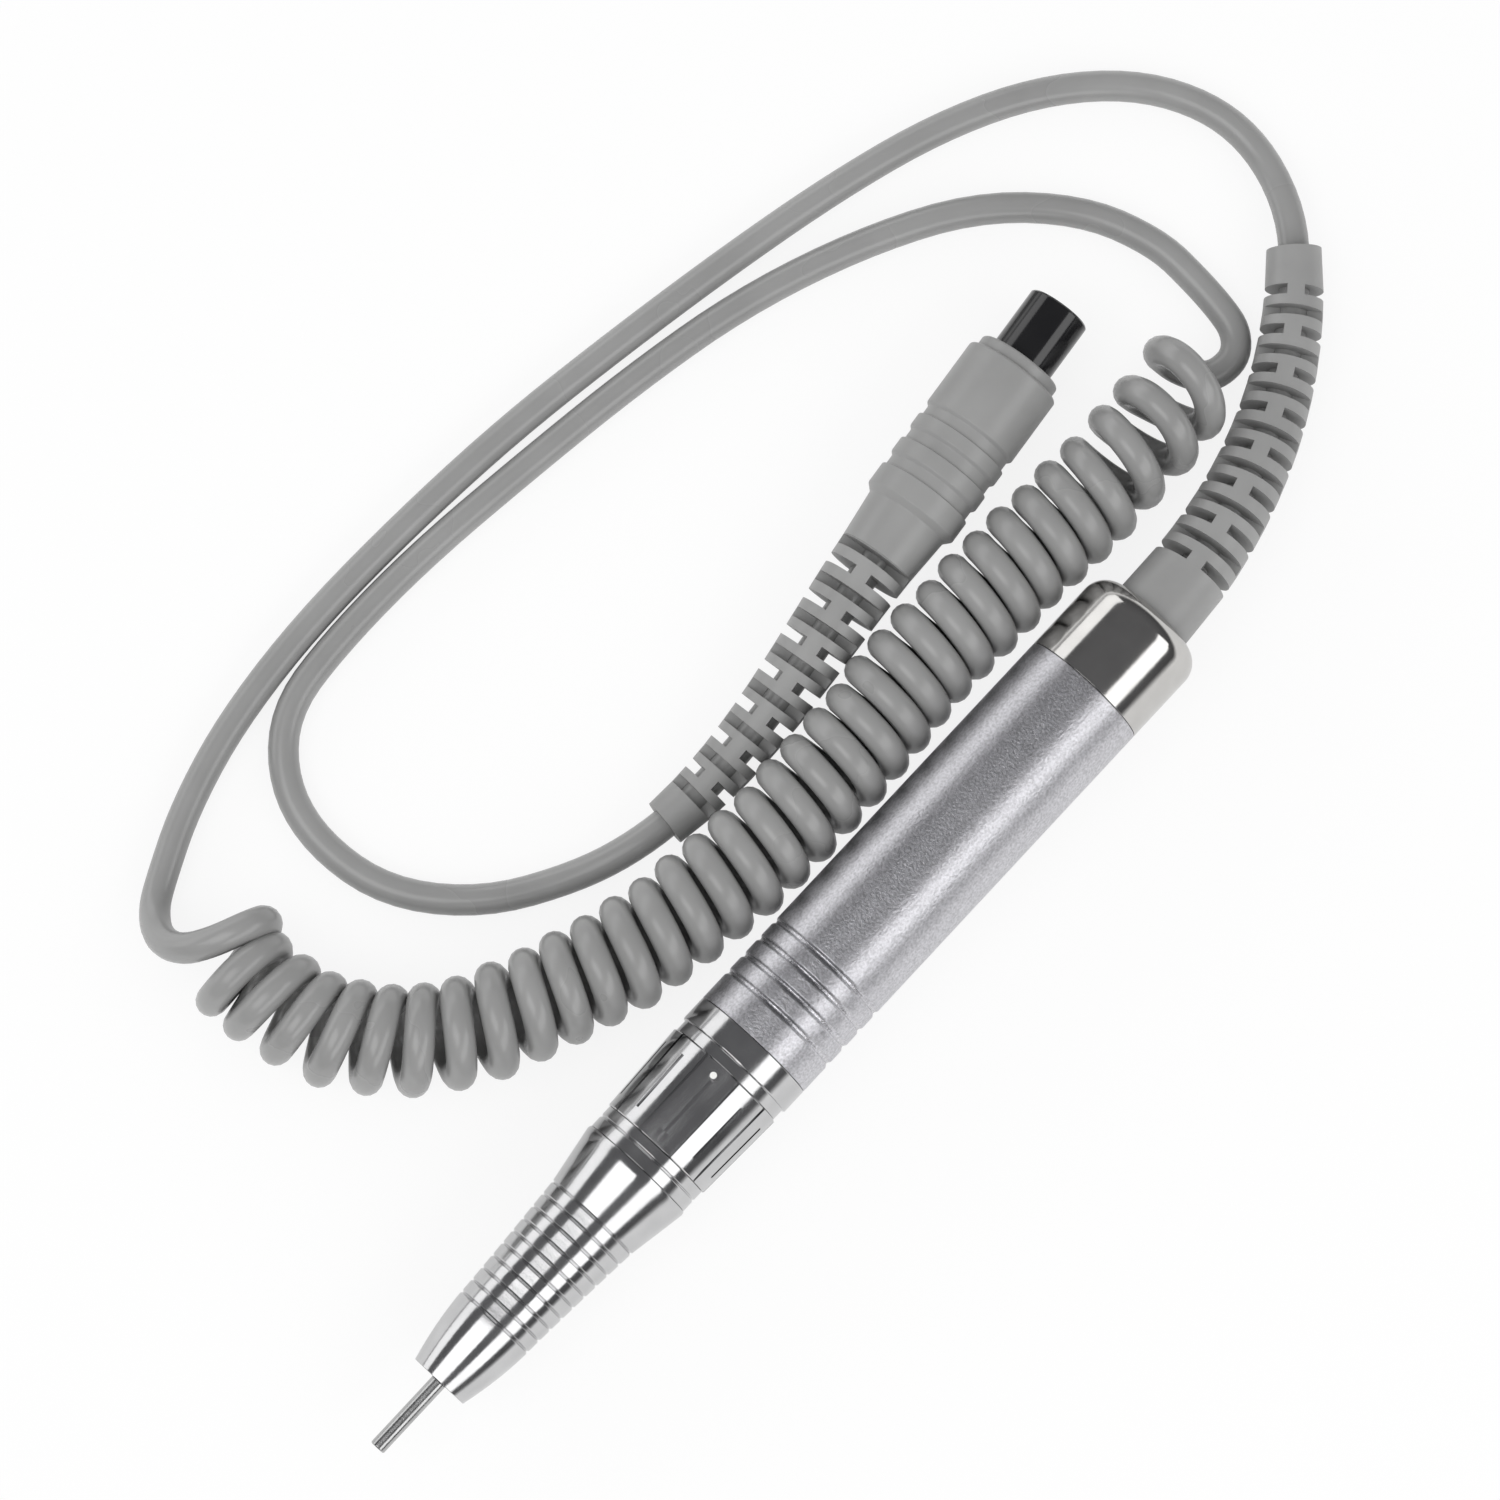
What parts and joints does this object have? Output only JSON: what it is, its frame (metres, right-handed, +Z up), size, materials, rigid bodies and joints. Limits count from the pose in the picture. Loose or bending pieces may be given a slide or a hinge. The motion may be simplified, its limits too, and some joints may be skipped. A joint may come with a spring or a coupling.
{
  "type": "nail drill handpiece",
  "caption": "Slim cylindrical nail drill handpiece with ridged taper nose, twist-lock collet, satin metal body, slotted strain relief, curly cord and round plug.",
  "frame": {"origin": "on the resting surface, under the middle of the handpiece's length from shank tip to rear cap", "axes": "+X from the nose to the rear cap along the handpiece, +Z up, +Y towards the side where the cord lies"},
  "size_m": [0.2205, 0.0982, 0.019],
  "materials": {
    "chrome_front": "polished",
    "satin_aluminium": "fine bead-blasted satin",
    "chrome_cap": "polished",
    "steel": "ground",
    "spring_steel": "smooth",
    "marker_white": "smooth",
    "boot_grey": "satin",
    "cord_grey": "satin",
    "shell_black": "glossy",
    "insert_black": "moulded",
    "contact_gold": "polished",
    "o_ring_black": "smooth",
    "zinc_can": "plated",
    "magnet": "sintered",
    "laminations": "varnished",
    "copper": "enamelled",
    "carbon": "graphite",
    "end_bell_white": "moulded",
    "brass": "turned",
    "wire_red": "insulated"
  },
  "bodies": {
    "handpiece": {"nose_cone": "chrome_front", "spindle_housing": "chrome_front", "front_band": "chrome_front", "body_tube": "satin_aluminium", "rear_cap": "chrome_cap", "cap_o_ring": "o_ring_black", "front_bearing_outer_ring": "steel", "rear_bearing_outer_ring": "steel", "motor_front_bearing_outer_ring": "steel", "motor_rear_bearing_outer_ring": "steel", "motor_can": "zinc_can", "motor_magnets": "magnet", "brush_holder": "end_bell_white", "carbon_brushes": "carbon", "brush_springs": "brass", "motor_terminals": "brass", "motor_clamp_ring": "brass", "lead_wires": "wire_red", "cord_clamp": "brass", "cord_boot": "boot_grey", "cord_tail_handpiece": "cord_grey", "cord_lead_a": "cord_grey", "cord_coil": "cord_grey", "cord_lead_b": "cord_grey", "cord_tail_plug": "cord_grey", "plug_boot": "boot_grey", "plug_grip": "boot_grey", "plug_front_ring": "boot_grey", "plug_shell": "shell_black", "plug_insert": "insert_black", "plug_contacts": "contact_gold"},
    "lock_sleeve": {"twist_sleeve": "chrome_front", "sleeve_marker": "marker_white"},
    "release": {"release_ring": "steel", "cam_pins": "steel"},
    "spindle": {"spindle": "steel", "front_bearing_inner_ring": "steel", "front_bearing_balls": "steel", "rear_bearing_inner_ring": "steel", "rear_bearing_balls": "steel", "spindle_dog": "steel"},
    "collet": {"collet": "steel", "drawbar": "steel", "cross_pin": "steel", "spring_washers": "spring_steel"},
    "bit": {"bit_blank": "steel"},
    "rotor": {"motor_shaft": "steel", "armature_core": "laminations", "armature_windings": "copper", "commutator": "copper", "motor_dog": "steel", "motor_front_bearing_inner_ring": "steel", "motor_front_bearing_balls": "steel", "motor_rear_bearing_inner_ring": "steel", "motor_rear_bearing_balls": "steel"}
  },
  "joints": [
    {"name": "sleeve_twist", "type": "hinge", "parent": "handpiece", "child": "lock_sleeve", "pos_m": [0, 0, 0.0095], "axis": [1, 0, 0], "range_deg": [0, 60]},
    {"name": "release_slide", "type": "slide", "parent": "handpiece", "child": "release", "axis": [-1, 0, 0], "range_m": [0, 0.0012]},
    {"name": "rotor_spin", "type": "hinge", "parent": "handpiece", "child": "rotor", "pos_m": [0, 0, 0.0095], "axis": [1, 0, 0], "continuous": true},
    {"name": "spindle_spin", "type": "hinge", "parent": "handpiece", "child": "spindle", "pos_m": [0, 0, 0.0095], "axis": [1, 0, 0], "continuous": true},
    {"name": "collet_slide", "type": "slide", "parent": "spindle", "child": "collet", "axis": [-1, 0, 0], "range_m": [0, 0.00085], "deforming": ["spring_washers"]},
    {"name": "bit_slide", "type": "slide", "parent": "collet", "child": "bit", "axis": [-1, 0, 0], "range_m": [0, 0.0205]}
  ],
  "couplings": [
    {"joint": "release_slide", "follows": "sleeve_twist", "m_per_rad": 0.001145},
    {"joint": "collet_slide", "follows": "sleeve_twist", "m_per_rad": 0.00081},
    {"joint": "spindle_spin", "follows": "rotor_spin", "ratio": 1}
  ]
}
